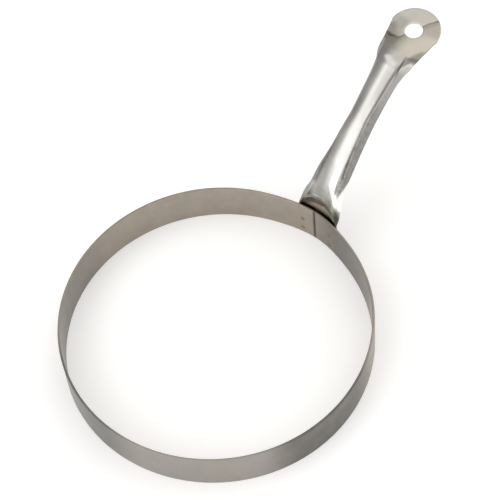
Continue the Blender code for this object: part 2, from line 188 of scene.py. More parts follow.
def seam_peak(angle):
    """How far the band stands outside its circle where its stiff ends meet."""
    return SEAM_PEAK * math.exp(-((angle - math.pi / 2) / SEAM_PEAK_SPREAD) ** 2)


def band_profile():
    """Closed outline of the strip's cross-section, with many rows on the inside wall."""
    corners = (
        (OUTER_RADIUS, BAND_HEIGHT, 0.0),
        (INNER_RADIUS, BAND_HEIGHT, math.pi / 2),
        (INNER_RADIUS, 0.0, math.pi),
        (OUTER_RADIUS, 0.0, 3 * math.pi / 2),
    )
    outline = []
    for index, (x, z, start) in enumerate(corners):
        centre_x = x - math.copysign(EDGE_ROUND, x - (INNER_RADIUS + OUTER_RADIUS) / 2)
        centre_z = z - math.copysign(EDGE_ROUND, z - BAND_HEIGHT / 2)
        for step in range(EDGE_STEPS + 1):
            angle = start + math.pi / 2 * step / EDGE_STEPS
            outline.append((centre_x + EDGE_ROUND * math.cos(angle),
                            centre_z + EDGE_ROUND * math.sin(angle)))
        is_wall_next = index in (1, 3)
        if is_wall_next:
            last_z = outline[-1][1]
            for row in range(1, WALL_ROWS):
                z_row = last_z + (BAND_HEIGHT - 2 * last_z) * row / WALL_ROWS
                outline.append((x, z_row))
    return outline


def band_angles():
    """Angles round the band from one side of the seam to the other, closer near the seam."""
    half_gap = SEAM_GAP / 2 / OUTER_RADIUS
    seam = math.pi / 2 + SEAM_SIDE_OFFSET / OUTER_RADIUS
    angles = [seam + half_gap]
    end = seam + 2 * math.pi - half_gap
    while angles[-1] < end - COARSE_STEP / 2:
        near_seam = min(angles[-1] - angles[0], end - angles[-1]) < SEAM_ZONE
        angles.append(angles[-1] + (FINE_STEP if near_seam else COARSE_STEP))
    spread = (end - angles[0]) / (angles[-1] - angles[0])
    return [angles[0] + (angle - angles[0]) * spread for angle in angles]


def weld_angle(side):
    """Angle of the welds left (-1) or right (1) of the middle."""
    return math.pi / 2 - side * math.asin(WELD_SIDE_OFFSET / OUTER_RADIUS)


def dimple(angle, z):
    """Depth of the electrode marks on the inside wall at a place."""
    depth = 0.0
    for side in (-1, 1):
        for height in WELD_HEIGHTS:
            turn = math.remainder(angle - weld_angle(side), 2 * math.pi)
            away = math.hypot(turn * INNER_RADIUS, z - height)
            depth += DIMPLE_DEPTH * (1 - smooth(away / DIMPLE_RADIUS))
    return depth


def make_band(material):
    """Rolled strip whose two ends meet at a narrow butt seam behind the foot."""
    profile = band_profile()
    count = len(profile)
    angles = band_angles()
    points = []
    places = []
    for angle in angles:
        peak = seam_peak(angle) + seam_peak(angle - 2 * math.pi)
        for radius, z in profile:
            reach = radius + peak - FACET_FIT
            if radius <= INNER_RADIUS:
                reach += dimple(angle, z)
            points.append(np.array([reach * math.cos(angle), reach * math.sin(angle), z]))
            places.append((angle * OUTER_RADIUS, z))
    last = (len(angles) - 1) * count
    faces = [tuple(range(count)), tuple(range(last, last + count))]
    for step in range(len(angles) - 1):
        for k in range(count):
            a = step * count + k
            b = step * count + (k + 1) % count
            faces.append((a, b, b + count, a + count))
    return add_piece("band_steel_strip", points, faces, places, material)


class Centreline:
    """Middle line of the handle's top face in the plane of symmetry."""

    STEP = 0.1 * MM

    def __init__(self):
        root_bend = ROOT_BEND_RADIUS * (ROOT_TILT - LOWER_SHAFT_TILT)
        shaft_bend = SHAFT_BEND_RADIUS * (LOWER_SHAFT_TILT - UPPER_SHAFT_TILT)
        paddle_bend = PADDLE_BEND_RADIUS * (UPPER_SHAFT_TILT - PADDLE_TILT)
        pieces = (
            (root_bend, 1 / ROOT_BEND_RADIUS),
            (LOWER_SHAFT, 0.0),
            (shaft_bend, 1 / SHAFT_BEND_RADIUS),
            (UPPER_SHAFT, 0.0),
            (paddle_bend, 1 / PADDLE_BEND_RADIUS),
            (BEND_TO_HOLE + 2 * PADDLE_RADIUS, 0.0),
        )
        ends = np.cumsum([length for length, bend in pieces])
        self.hole = ends[-2] + BEND_TO_HOLE
        self.station = np.arange(0.0, ends[-1], self.STEP)
        bends = np.array([bend for length, bend in pieces])
        where = np.searchsorted(ends, self.station, side="right")
        turn = np.concatenate(([0.0], np.cumsum(bends[where] * self.STEP)[:-1]))
        self.tilt = ROOT_TILT - turn
        along_y = np.cumsum(np.cos(self.tilt)) * self.STEP
        along_z = np.cumsum(np.sin(self.tilt)) * self.STEP
        self.y = foot_radius(ROOT_HEIGHT) + np.concatenate(([0.0], along_y[:-1]))
        self.z = ROOT_HEIGHT + np.concatenate(([0.0], along_z[:-1]))

    def frame(self, station):
        """Point and top-side normal; the line runs on straight below the root."""
        tilt = np.interp(station, self.station, self.tilt)
        back = min(station, 0.0)
        y = np.interp(station, self.station, self.y) + back * math.cos(ROOT_TILT)
        z = np.interp(station, self.station, self.z) + back * math.sin(ROOT_TILT)
        return np.array([0.0, y, z]), np.array([0.0, -math.sin(tilt), math.cos(tilt)])


def foot_radius(height, angle=math.pi / 2):
    """Radius of the foot's face about the band's axis, leaning away above the welds."""
    lean = max(height - FOOT_LEAN_START, 0.0) * math.tan(FOOT_LEAN)
    return OUTER_RADIUS + seam_peak(angle) + CLEARANCE + lean


def foot_point(x, z):
    """Point of the foot's face that touches the band's outside but for the clearance."""
    y = OUTER_RADIUS
    for turn in range(FOOT_FIT_ROUNDS):
        radius = foot_radius(z, math.atan2(y, x))
        y = math.sqrt(radius * radius - x * x)
    return np.array([x, y, z])


class Pressing:
    """Top face of the pressed channel and paddle over its flat blank."""

    def __init__(self):
        self.line = Centreline()
        keys = np.array(SECTIONS)
        step = SECTION_EASE / EASE_SAMPLES
        self.station = np.arange(SECTIONS[0][0], self.line.station[-1], step)
        window = np.hanning(2 * EASE_SAMPLES + 1)
        window = window / window.sum()
        self.values = []
        for column in range(1, keys.shape[1]):
            value = np.interp(self.station, keys[:, 0], keys[:, column])
            padded = np.pad(value, len(window) // 2, mode="edge")
            self.values.append(np.convolve(padded, window, mode="valid"))

    def section(self, station):
        """Half width, crown, shoulder, crown tilt and side tilt at a station."""
        return [float(np.interp(station, self.station, value)) for value in self.values]

    def reaches(self, station):
        """Blank distances of the columns from the middle to the free edge."""
        half_width, crown, shoulder = self.section(station)[:3]
        marks = (0.0, crown, crown + shoulder, half_width)
        counts = (CROWN_COLUMNS, SHOULDER_COLUMNS, SIDE_COLUMNS)
        found = [0.0]
        for start, end, count in zip(marks[:-1], marks[1:], counts):
            found += [start + (end - start) * step / count for step in range(1, count + 1)]
        return found

    def point(self, station, reach):
        """Point of the top face at a station and a signed blank distance from the middle."""
        half_width, crown, shoulder, crown_tilt, side_tilt = self.section(station)
        fine = np.linspace(0.0, abs(reach), FOLD_SAMPLES)
        rise = np.clip(fine / crown, 0.0, 1.0) * crown_tilt
        fold = np.clip((fine - crown) / shoulder, 0.0, 1.0)
        tilt = rise + fold * (side_tilt - crown_tilt)
        tilt = (tilt[1:] + tilt[:-1]) / 2
        across = np.cos(tilt).sum() * fine[1] * math.copysign(1.0, reach)
        down = np.sin(tilt).sum() * fine[1]
        point, normal = self.line.frame(station)
        return point + np.array([across, 0.0, 0.0]) - normal * down

    def normal(self, station, reach):
        """Direction away from the top face."""
        step = NORMAL_STEP
        along = self.point(station + step, reach) - self.point(station - step, reach)
        across = self.point(station, reach + step) - self.point(station, reach - step)
        normal = np.cross(across, along)
        return normal / np.linalg.norm(normal)

    def reach(self, station, column):
        """Signed blank distance of a numbered column; negative ones lie on the -X side."""
        return math.copysign(self.reaches(station)[abs(column)], column)

    def crease(self, column):
        """Station where a column runs into the foot's face."""
        low = -ROOT_HEIGHT / 2
        high = FOOT_FILLET
        for halving in range(CREASE_HALVINGS):
            middle = (low + high) / 2
            x, y, z = self.point(middle, self.reach(middle, column))
            if math.hypot(x, y) > foot_radius(z, math.atan2(y, x)):
                high = middle
            else:
                low = middle
        return (low + high) / 2


def foot_column(corner, share):
    """Column of points up the foot's face, ending at the crease."""
    low_x = FOOT_HALF_WIDTH * share
    inner = max(abs(low_x) - (FOOT_HALF_WIDTH - FOOT_CORNER), 0.0)
    low_z = FOOT_BOTTOM + FOOT_CORNER - math.sqrt(FOOT_CORNER ** 2 - inner ** 2)
    points = []
    for z in np.linspace(low_z, corner[2], FOOT_SAMPLES):
        narrowing = smooth(1 - (corner[2] - z) / FOOT_WAIST)
        points.append(foot_point(low_x + (corner[0] - low_x) * narrowing, z))
    return points


def crease_arc(before, corner, after):
    """Curve that rounds the corner between the foot's face and the channel."""
    start = corner + (before - corner) / np.linalg.norm(before - corner) * FOOT_FILLET
    end = corner + (after - corner) / np.linalg.norm(after - corner) * FOOT_FILLET
    arc = []
    for step in range(CREASE_ROWS + 1):
        t = step / CREASE_ROWS
        arc.append((1 - t) ** 2 * start + 2 * t * (1 - t) * corner + t * t * end)
    return arc


def resample(points, steps):
    """Same polyline with evenly spaced points."""
    path = np.array(points)
    lengths = np.concatenate(([0.0], np.cumsum(np.linalg.norm(np.diff(path, axis=0), axis=1))))
    marks = np.linspace(0.0, lengths[-1], steps + 1)
    return [np.array([np.interp(mark, lengths, path[:, axis]) for axis in range(3)])
            for mark in marks]


def handle_column(pressing, column, columns, neck):
    """Points of one lengthwise column below the paddle, and their places on the sheet."""
    crease = pressing.crease(column)
    skew = crease - pressing.crease(0)
    corner = pressing.point(crease, pressing.reach(crease, column))
    foot = foot_column(corner, column / columns)
    ahead_station = crease + FOOT_FILLET
    ahead = pressing.point(ahead_station, pressing.reach(ahead_station, column))
    arc = crease_arc(foot[-2], corner, ahead)
    straight = [point for point in foot if point[2] < arc[0][2] - EDGE_ROUND] + [arc[0]]
    rows = resample(straight, FOOT_ROWS)[:-1] + arc
    places = [(row[0], row[2] - corner[2]) for row in rows]
    for station in np.linspace(FOOT_FILLET, neck, round((neck - FOOT_FILLET) / ROW))[1:]:
        fading = 1 - smooth((station - FOOT_FILLET) / SKEW_FADE)
        moved = station + skew * fading
        reach = pressing.reach(moved, column)
        rows.append(pressing.point(moved, reach))
        places.append((reach, station))
    return rows, places


def paddle_outline(pressing, neck):
    """Outline of the blank beyond the last cross row as (station, reach) pairs."""
    hole = pressing.line.hole
    side = []
    for step in range(1, FLANK_STEPS):
        station = neck + (hole - neck) * step / FLANK_STEPS
        side.append((station, pressing.section(station)[0]))
    tip = []
    for step in range(TIP_STEPS + 1):
        angle = math.pi * step / TIP_STEPS
        tip.append((hole + TIP_RADIUS * math.sin(angle), TIP_RADIUS * math.cos(angle)))
    return side + tip + [(station, -reach) for station, reach in reversed(side)]


class Sheet:
    """Top face of a sheet piece, thickened downwards along its normals."""

    def __init__(self):
        self.points = []
        self.normals = []
        self.places = []
        self.faces = []

    def add(self, point, normal, place):
        """Index of a new point with its top-side normal and its place on the flat sheet."""
        self.points.append(np.array(point))
        self.normals.append(np.array(normal) / np.linalg.norm(normal))
        self.places.append(tuple(place))
        return len(self.points) - 1

    def solid(self, borders):
        """Points, faces and sheet places of the closed solid with rounded border edges."""
        for border in borders:
            outward = self.outward(border)
            for index, direction in zip(border, outward):
                self.points[index] = self.points[index] - direction * EDGE_ROUND
        top = list(self.points)
        bottom = [point - normal * SHEET for point, normal in zip(top, self.normals)]
        points = top + bottom
        places = self.places + self.places
        count = len(top)
        faces = list(self.faces) + [tuple(i + count for i in reversed(f)) for f in self.faces]
        for border in borders:
            outward = self.outward(border)
            loops = [list(border)]
            for reach, depth in edge_profile():
                loops.append([])
                for index, direction in zip(border, outward):
                    point = top[index] + direction * reach - self.normals[index] * depth
                    loops[-1].append(len(points))
                    points.append(point)
                    places.append(self.places[index])
            loops.append([index + count for index in border])
            for first, second in zip(loops[:-1], loops[1:]):
                for k in range(len(border)):
                    j = (k + 1) % len(border)
                    faces.append((first[k], second[k], second[j], first[j]))
        return points, faces, places

    def outward(self, border):
        """Directions in the sheet's plane that point away from the material."""
        directions = []
        size = len(border)
        for k, index in enumerate(border):
            ahead = self.points[border[(k + 1) % size]]
            behind = self.points[border[k - 1]]
            direction = np.cross(ahead - behind, self.normals[index])
            directions.append(direction / np.linalg.norm(direction))
        return directions


def edge_profile():
    """Reach and depth of the loops that round the two edges of the sheet."""
    steps = range(1, EDGE_STEPS + 1)
    quarter = [math.pi / 2 * step / EDGE_STEPS for step in steps]
    upper = [(EDGE_ROUND * math.sin(a), EDGE_ROUND * (1 - math.cos(a))) for a in quarter]
    lower = [(reach, SHEET - depth) for reach, depth in reversed(upper)]
    return upper + lower


def grid_normals(grid):
    """Top-side normals of a grid of points given as rows of columns."""
    along = np.gradient(grid, axis=0)
    across = np.gradient(grid, axis=1)
    normals = np.cross(across, along)
    return normals / np.linalg.norm(normals, axis=2, keepdims=True)


def make_handle(material):
    """One pressing: foot, crease, channel, flat paddle and its hanging hole."""
    pressing = Pressing()
    neck = pressing.line.hole - PADDLE_START_TO_HOLE
    columns = CROWN_COLUMNS + SHOULDER_COLUMNS + SIDE_COLUMNS
    span = range(-columns, columns + 1)
    made = [handle_column(pressing, column, columns, neck) for column in span]
    grid = np.swapaxes(np.array([rows for rows, places in made]), 0, 1)
    places = np.swapaxes(np.array([places for rows, places in made]), 0, 1)
    last = [(neck, pressing.reach(neck, column)) for column in span]
    normals = grid_normals(grid)
    normals[-1] = [pressing.normal(*place) for place in last]
    sheet = Sheet()
    rows = [[sheet.add(*corner) for corner in zip(*row)] for row in zip(grid, normals, places)]
    for lower, upper in zip(rows[:-1], rows[1:]):
        for k in range(len(lower) - 1):
            sheet.faces.append((lower[k], lower[k + 1], upper[k + 1], upper[k]))
    rim, hole = add_paddle(sheet, pressing, last, rows[-1])
    right_side = [row[-1] for row in rows[1:-1]]
    left_side = [row[0] for row in reversed(rows[1:-1])]
    border = rows[0] + right_side + rim + left_side
    points, faces, places = sheet.solid([border, hole])
    return add_piece("handle_pressing", points, faces, places, material)


def add_paddle(sheet, pressing, last, last_row):
    """Rings of faces from the channel's last row and the outline to the hanging hole."""
    hole = pressing.line.hole
    outline = last + paddle_outline(pressing, last[0][0])
    rings = []
    for ring in range(PADDLE_RINGS + 1):
        share = ring / PADDLE_RINGS
        indices = []
        for station, reach in outline:
            spoke = math.hypot(station - hole, reach)
            scale = (spoke + (HOLE_RADIUS - spoke) * share) / spoke
            place = (hole + (station - hole) * scale, reach * scale)
            if ring == 0 and len(indices) < len(last_row):
                indices.append(last_row[len(indices)])
            else:
                point = pressing.point(*place)
                indices.append(sheet.add(point, pressing.normal(*place), place[::-1]))
        rings.append(indices)
    for outer, inner in zip(rings[:-1], rings[1:]):
        for k in range(len(outer)):
            j = (k + 1) % len(outer)
            sheet.faces.append((outer[k], outer[j], inner[j], inner[k]))
    rim = rings[0][len(last_row) - 1:] + [last_row[0]]
    return rim, list(reversed(rings[-1]))


# Materials

class Graph:
    """Short way to write the nodes of a material or a world."""

    # Sockets of the colour kind of Mix, whose names it shares with its other kinds
    MIX_FIRST = 6
    MIX_SECOND = 7
    MIX_RESULT = 2

    def __init__(self, owner):
        owner.use_nodes = True
        self.tree = owner.node_tree
        self.tree.nodes.clear()

    def feed(self, socket, value):
        """Link an output to a socket, or set the socket to a constant."""
        if isinstance(value, bpy.types.NodeSocket):
            self.tree.links.new(value, socket)
        else:
            socket.default_value = value

    def add(self, kind, *values, output=0, **settings):
        """New node with its settings; values go to its inputs in order."""
        node = self.tree.nodes.new(kind)
        for key, value in settings.items():
            setattr(node, key, value)
        for socket, value in zip(node.inputs, values):
            self.feed(socket, value)
        return node.outputs[output]

    def shader(self, kind, **values):
        """New shader node with its inputs by name."""
        node = self.tree.nodes.new(kind)
        for key, value in values.items():
            self.feed(node.inputs[key.replace("_", " ")], value)
        return node.outputs[0]

    def math(self, operation, *values):
        return self.add("ShaderNodeMath", *values, operation=operation)

    def vector(self, operation, first, second, output="Vector"):
        return self.add("ShaderNodeVectorMath", first, second, operation=operation, output=output)

    def axes(self, vector):
        """The three components of a vector."""
        node = self.tree.nodes.new("ShaderNodeSeparateXYZ")
        self.feed(node.inputs[0], vector)
        return tuple(node.outputs)

    def ease(self, value, low, high, to_low=0.0, to_high=1.0):
        """Smooth step of a value from one range to another."""
        return self.add("ShaderNodeMapRange", value, low, high, to_low, to_high,
                        interpolation_type="SMOOTHSTEP")

    def gap(self, first, second):
        """Distance between two numbers."""
        return self.math("ABSOLUTE", self.math("SUBTRACT", first, second))

    def turn(self, azimuth, middle):
        """Distance in degrees between two azimuths, whichever way round is shorter."""
        turn = self.math("WRAP", self.math("SUBTRACT", azimuth, middle), 180.0, -180.0)
        return self.math("ABSOLUTE", turn)

    def mix(self, share, first, second):
        """Mix of two colours."""
        node = self.tree.nodes.new("ShaderNodeMix")
        node.data_type = "RGBA"
        self.feed(node.inputs["Factor"], share)
        self.feed(node.inputs[self.MIX_FIRST], first)
        self.feed(node.inputs[self.MIX_SECOND], second)
        return node.outputs[self.MIX_RESULT]

    def noise(self, place, scale, detail, roughness):
        """Noise in space, or stretched by a scale of its own on each axis."""
        if isinstance(scale, tuple):
            place = self.vector("MULTIPLY", place, scale)
            scale = 1.0
        node = self.tree.nodes.new("ShaderNodeTexNoise")
        self.feed(node.inputs["Vector"], place)
        node.inputs["Scale"].default_value = scale
        node.inputs["Detail"].default_value = detail
        node.inputs["Roughness"].default_value = roughness
        return node.outputs["Fac"]

    def bump(self, height, distance, normal=None):
        node = self.tree.nodes.new("ShaderNodeBump")
        node.inputs["Strength"].default_value = 1.0
        node.inputs["Distance"].default_value = distance
        self.feed(node.inputs["Height"], height)
        if normal is not None:
            self.feed(node.inputs["Normal"], normal)
        return node.outputs[0]

    def share(self, fields, ranges):
        """Product of eased fields; a name without a range is a share already."""
        total = None
        for name, *span in ranges:
            part = self.ease(fields[name], *span) if span else fields[name]
            total = part if total is None else self.math("MULTIPLY", total, part)
        return total

    def lay(self, tone, fields, layers):
        """Lay colours, or colours named in the fields, over a tone one after another."""
        for paint, *ranges in layers:
            paint = fields[paint] if isinstance(paint, str) else paint
            tone = self.mix(self.share(fields, ranges), tone, paint)
        return tone

    def finish(self, surface, kind="ShaderNodeOutputMaterial"):
        output = self.tree.nodes.new(kind)
        self.tree.links.new(surface, output.inputs["Surface"])


def colour(red, green, blue):
    return (red, green, blue, 1.0)


# Noises: scale, or stretch on the sheet map, then detail and roughness
BAND_ROLLING = ((3.0, 420.0, 1.0), 4.0, 0.65)
BAND_STREAKS = ((26.0, 2.0, 1.0), 3.0, 0.6)
BAND_MOTTLE = (130.0, 4.0, 0.6)
BAND_CLOUD = (22.0, 2.0, 0.5)
HANDLE_LINES = ((260.0, 5.0, 1.0), 4.0, 0.6)
HANDLE_STREAKS = ((45.0, 1.6, 1.0), 3.0, 0.55)
HANDLE_GRAIN = (900.0, 2.0, 0.5)
HANDLE_CLOUD = (75.0, 3.0, 0.5)
HANDLE_PATCHES = (210.0, 3.0, 0.55)
FLANK_NOISE = (520.0, 3.0, 0.65)
WELD_GRAIN = (1400.0, 4.0, 0.6)

# Depths of the bumps
BAND_WAVE = 0.25 * MM
BAND_LINE_DEPTH = 0.004 * MM
HANDLE_WAVE = 0.10 * MM
HANDLE_LINE_DEPTH = 0.0025 * MM
HANDLE_GRAIN_DEPTH = 0.001 * MM
WELD_GRAIN_DEPTH = 0.02 * MM

# Roughness as ranges of the noises
BAND_CLOUD_ROUGH = (0.3, 0.7, 0.34, 0.42)
BAND_LINE_ROUGH = (0.3, 0.7, -0.03, 0.04)
HANDLE_CLOUD_ROUGH = (0.3, 0.7, 0.17, 0.23)
HANDLE_LINE_ROUGH = (0.3, 0.7, -0.02, 0.04)
WELD_ROUGH = (0.3, 0.7, 0.4, 0.6)

# Colours
BAND_DARK = colour(0.340, 0.297, 0.252)
BAND_LIGHT = colour(0.380, 0.337, 0.290)
BAND_STREAK = colour(0.325, 0.29, 0.252)
HANDLE_DARK = colour(0.445, 0.435, 0.42)
HANDLE_LIGHT = colour(0.505, 0.495, 0.475)
HANDLE_STREAK = colour(0.40, 0.375, 0.36)
HANDLE_EDGE_TINT = colour(0.72, 0.71, 0.69)
ROSE_TINT = colour(0.46, 0.40, 0.38)
# Painted shade down the flanks of the shaft, darker and lighter
FLANK_PAINTED_SHADE = colour(0.155, 0.148, 0.14)
FLANK_PAINTED_SHADE_LIGHT = colour(0.25, 0.24, 0.225)
# Painted shade over the right half of the crown's highlight
CROWN_PAINTED_SHADE = colour(0.36, 0.345, 0.335)
# Painted shade along the root's left edge
FLARE_PAINTED_SHADE = colour(0.30, 0.31, 0.30)
# Painted highlight on the root
PAINTED_ROOT_HIGHLIGHT = colour(0.90, 0.895, 0.88)
# Dark lines of painted reflection, and painted shade
DARK_REFLECTION_LINE = colour(0.10, 0.085, 0.07)
PAINTED_PADDLE_SHADE = colour(0.27, 0.25, 0.235)
# Painted light on the paddle beyond its dark line
PADDLE_PAINTED_LIGHT = colour(0.65, 0.615, 0.56)
PADDLE_WARM = colour(0.54, 0.50, 0.42)
# Painted shade on the paddle left of the hole
PADDLE_LEFT_PAINTED_SHADE = colour(0.38, 0.375, 0.365)
OLIVE_TINT = colour(0.30, 0.29, 0.245)
# Painted shade beside the right arm of the crease
OLIVE_PAINTED_SHADE = colour(0.24, 0.232, 0.195)
FOOT_ROSE = colour(0.31, 0.235, 0.20)
FOOT_PALE = colour(0.30, 0.28, 0.23)
FOOT_GOLD = colour(0.13, 0.10, 0.045)
# Painted shade in the crease
CREASE_PAINTED_SHADE = colour(0.075, 0.065, 0.05)
STRAW_TINT = colour(0.34, 0.265, 0.17)
WELD_MARK = colour(0.15, 0.125, 0.10)
WELD_BROWN = colour(0.15, 0.10, 0.065)
WELD_GREY = colour(0.33, 0.31, 0.29)

# Sectors of the band painted darker and cooler as painted shade, and the dark line of the seam:
# side (1 outside, -1 inside), middle azimuth, half width and softness in degrees, strength and
# colour
SEAM_AZIMUTH = 90.0 + math.degrees(SEAM_SIDE_OFFSET / OUTER_RADIUS)
BAND_PAINTED_SHADE_AND_SEAM = (
    (1.0, -62.0, 50.0, 30.0, 0.6, colour(0.338, 0.325, 0.315)),
    (1.0, -4.0, 14.0, 18.0, 0.92, colour(0.130, 0.122, 0.112)),
    (1.0, -108.0, 14.0, 18.0, 0.90, colour(0.158, 0.155, 0.149)),
    (-1.0, 68.0, 13.0, 14.0, 0.90, colour(0.155, 0.146, 0.135)),
    (-1.0, -146.0, 18.0, 26.0, 0.66, colour(0.185, 0.176, 0.166)),
    (-1.0, SEAM_AZIMUTH, 0.40, 0.45, 0.80, colour(0.085, 0.078, 0.07)),
)

# Layers of finish. Each has a colour and the ranges whose product is its share. A range has the
# field that it looks at, where it starts and ends and, if they aren't 0 and 1, the values there.
# The reach and station of the sheet map are in tenths of a metre, so that 0.01 is 1 mm.
BAND_LAYERS = (
    (BAND_LIGHT, ("mottle", 0.3, 0.7)),
    (BAND_STREAK, ("streaks", 0.35, 0.7, 0.0, 0.35)),
)
BAND_SHADE_SIDE = ("outward", 0.0, 0.02)
BAND_SHADE_GRAIN = ("mottle", 0.3, 0.7, 1.0, 0.85)
BAND_WELD_LAYERS = (
    (STRAW_TINT, ("weld", 2.4 * MM, 6.5 * MM, 1.0, 0.0), ("mottle", 0.2, 0.8, 0.10, 0.35)),
    (WELD_MARK, ("weld", 1.2 * MM, 2.2 * MM, 1.0, 0.0), ("mottle", 0.25, 0.65, 0.45, 0.9)),
)
HANDLE_LAYERS = (
    (HANDLE_LIGHT, ("cloud", 0.35, 0.65)),
    (HANDLE_STREAK, ("streaks", 0.45, 0.75, 0.0, 0.22)),
    (ROSE_TINT, ("patches", 0.55, 0.75, 0.0, 0.3)),
)
# Heat tint of the face away from the band
UNDERSIDE_LAYERS = (
    (STRAW_TINT, ("weld", 2.5 * MM, 5.5 * MM, 1.0, 0.0), ("cloud", 0.25, 0.65, 0.15, 0.5)),
    (WELD_BROWN, ("weld", 1.6 * MM, 2.8 * MM, 1.0, 0.0), ("cloud", 0.25, 0.65, 0.4, 0.8)),
)
SHAFT_LAYERS = (
    (PADDLE_WARM, ("station", 0.82, 0.90), ("cloud", 0.3, 0.6, 0.95, 0.6)),
    # Painted shade down the flanks of the shaft
    ("flank finish", ("flank",), ("patches", 0.3, 0.7, 1.0, 0.80)),
    # Painted shade over the right half of the crown towards the paddle
    (CROWN_PAINTED_SHADE, ("reach", 0.004, 0.024), ("station", 0.52, 0.64, 0.0, 0.85),
     ("station", 0.74, 0.80, 1.0, 0.0)),
    # Painted shade along the root's left edge
    (FLARE_PAINTED_SHADE, ("station", 0.08, 0.14, 1.0, 0.0), ("reach", -0.075, -0.095, 0.0, 0.85)),
)
# Painted reflection on the paddle: pale beyond a dark line with painted shade below it, and
# painted shade left of the hole; a dark line of painted reflection along the fold beside the
# neck, and painted shade across the fold's closed end
PADDLE_REFLECTION_LAYERS = (
    (PADDLE_PAINTED_LIGHT, ("past line", -0.004, 0.016)),
    (PADDLE_LEFT_PAINTED_SHADE, ("reach", -0.030, -0.060, 0.0, 0.65), ("station", 1.01, 1.05, 1.0, 0.0),
     ("station", 0.95, 0.99)),
    (PAINTED_PADDLE_SHADE, ("past line", -0.065, -0.025), ("past line", 0.0, 0.006, 1.0, 0.0),
     ("reach", 0.0, 0.04, 0.30, 0.42), ("off hole", 0.115, 0.135, 1.0, 0.0)),
    (DARK_REFLECTION_LINE, ("off line", 0.002, 0.013, 0.70, 0.0), ("off hole", 0.115, 0.135, 1.0, 0.0),
     ("patches", 0.3, 0.65, 0.4, 1.0)),
    (DARK_REFLECTION_LINE, ("off fold", 0.001, 0.008, 1.0, 0.0), ("station", 0.70, 0.77, 0.0, 0.8),
     ("station", 0.83, 0.86, 1.0, 0.0)),
    (PAINTED_PADDLE_SHADE, ("off cap", 0.004, 0.018, 0.75, 0.0), ("reach", 0.050, 0.065)),
)
# On the face towards the band: an olive tone over the root, the tone of the foot's face,
# painted shade in and beside the crease, painted highlights above the crease and down the
# root's right side, and heat tint at the foot's left corner
FOOT_LAYERS = (
    (OLIVE_TINT, ("station", 0.0, 0.11, 0.75, 0.0), ("cloud", 0.3, 0.55, 0.35, 1.0),
     ("reach", -0.04, 0.03, 0.35, 1.0)),
    ("foot finish", ("station", -0.004, -0.012)),
    # Painted shade beside the right arm of the crease
    (OLIVE_PAINTED_SHADE, ("station", 0.030, 0.060, 1.0, 0.0), ("reach", 0.020, 0.060),
     ("patches", 0.3, 0.6, 0.75, 0.98)),
    # Painted highlight on the left half just above the crease
    (PAINTED_ROOT_HIGHLIGHT, ("station", 0.003, 0.009), ("station", 0.014, 0.024, 1.0, 0.0),
     ("reach", -0.112, -0.100), ("reach", -0.03, 0.0, 0.55, 0.0)),
    # Painted shade along the crease and the foot's face just below it, fading to the right
    (CREASE_PAINTED_SHADE, ("past toe", 0.0, 0.02), ("station", -0.002, 0.006, 1.0, 0.35),
     ("station", 0.004, 0.010, 1.0, 0.0), ("patches", 0.25, 0.6, 0.75, 1.0),
     ("reach", 0.06, 0.125, 1.0, 0.25)),
    (FOOT_GOLD, ("reach", -0.080, -0.100, 0.0, 0.95), ("station", 0.014, 0.032, 1.0, 0.0)),
    # Painted highlight down the root's right side
    (PAINTED_ROOT_HIGHLIGHT, ("bright",)),
)
WELD_TONE = (0.3, 0.7)
FLANK_TONE = ("flank noise", 0.38, 0.62)
FOOT_TONE = ("reach", 0.0, 0.05)
TOP_SIDE = ("upper", 0.0, 0.1)

# Fields that the layers name: the flank is the strip of painted shade down either side of the
# shaft, the edge its left part near the paddle, the tip the lower end of its right part, painted
# as a highlight instead, and the toe the lower side of the crease, where its painted shade
# starts. A slant is how much reach a border gains or loses along the station.
LEFT_FLANK_SHIFT = (-0.01, 0.01, 0.004, 0.0)
FLANK_RANGES = (("side", 0.047, 0.061), ("station", 0.50, 0.76, 1.0, 0.0),
                ("station", 0.078, 0.102, 0.0, 0.85))
TIP_SLANT = 0.43
TIP_RANGES = (("tip slant", 0.040, 0.056), ("station", 0.14, 0.18, 1.0, 0.0),
              ("station", 0.060, 0.080))
EDGE_REACH = (0.76, 0.88, 0.054, 0.088)
EDGE_RANGES = (("edge reach", 0.0, -0.014, 0.0, 0.92), ("station", 0.45, 0.60),
               ("station", 0.86, 0.94, 1.0, 0.0))
# Where the highlight is painted down the root's right side
BRIGHT_SLANT = 0.96
BRIGHT_END = (0.045, 0.062, 0.20, 0.095)
BRIGHT_END_START = 0.8
BRIGHT_RANGES = (("bright slant", 0.110, 0.130), ("bright end",),
                 ("station", 0.040, 0.065), ("reach", 0.010, 0.036))
TOE_END = (0.0, 0.05, -0.045, -0.020)

# Line of painted reflection on the flat sheet: how steep it is right and left of the hole, where
# it bends and its slope beyond, how soft the bend is, and how far it wanders
HOLE_STATION = 0.997
REFLECTION_LINE_SLOPE = 1.7
REFLECTION_LINE_STEEP = 2.2
REFLECTION_LINE_BEND = -0.037
REFLECTION_LINE_RISE = 0.15
REFLECTION_LINE_ROUND = 0.012
REFLECTION_LINE_WANDER = (0.3, 0.7, -0.006, 0.006)
# Reach of the fold along its station, and the slanting line of its closed end
FOLD_REACH = (0.74, 0.80, 0.071, 0.066)
CAP_SLANT = 0.6
CAP_STATION = 0.808


def weld_distance(graph, place):
    """Distance to the nearest of the four welds."""
    nearest = None
    for side in (-1, 1):
        radius = OUTER_RADIUS + seam_peak(weld_angle(side))
        for height in WELD_HEIGHTS:
            centre = (radius * math.cos(weld_angle(side)),
                      radius * math.sin(weld_angle(side)) + BAND_AXIS_Y, height)
            away = graph.vector("DISTANCE", place, centre, "Value")
            nearest = away if nearest is None else graph.math("MINIMUM", nearest, away)
    return nearest


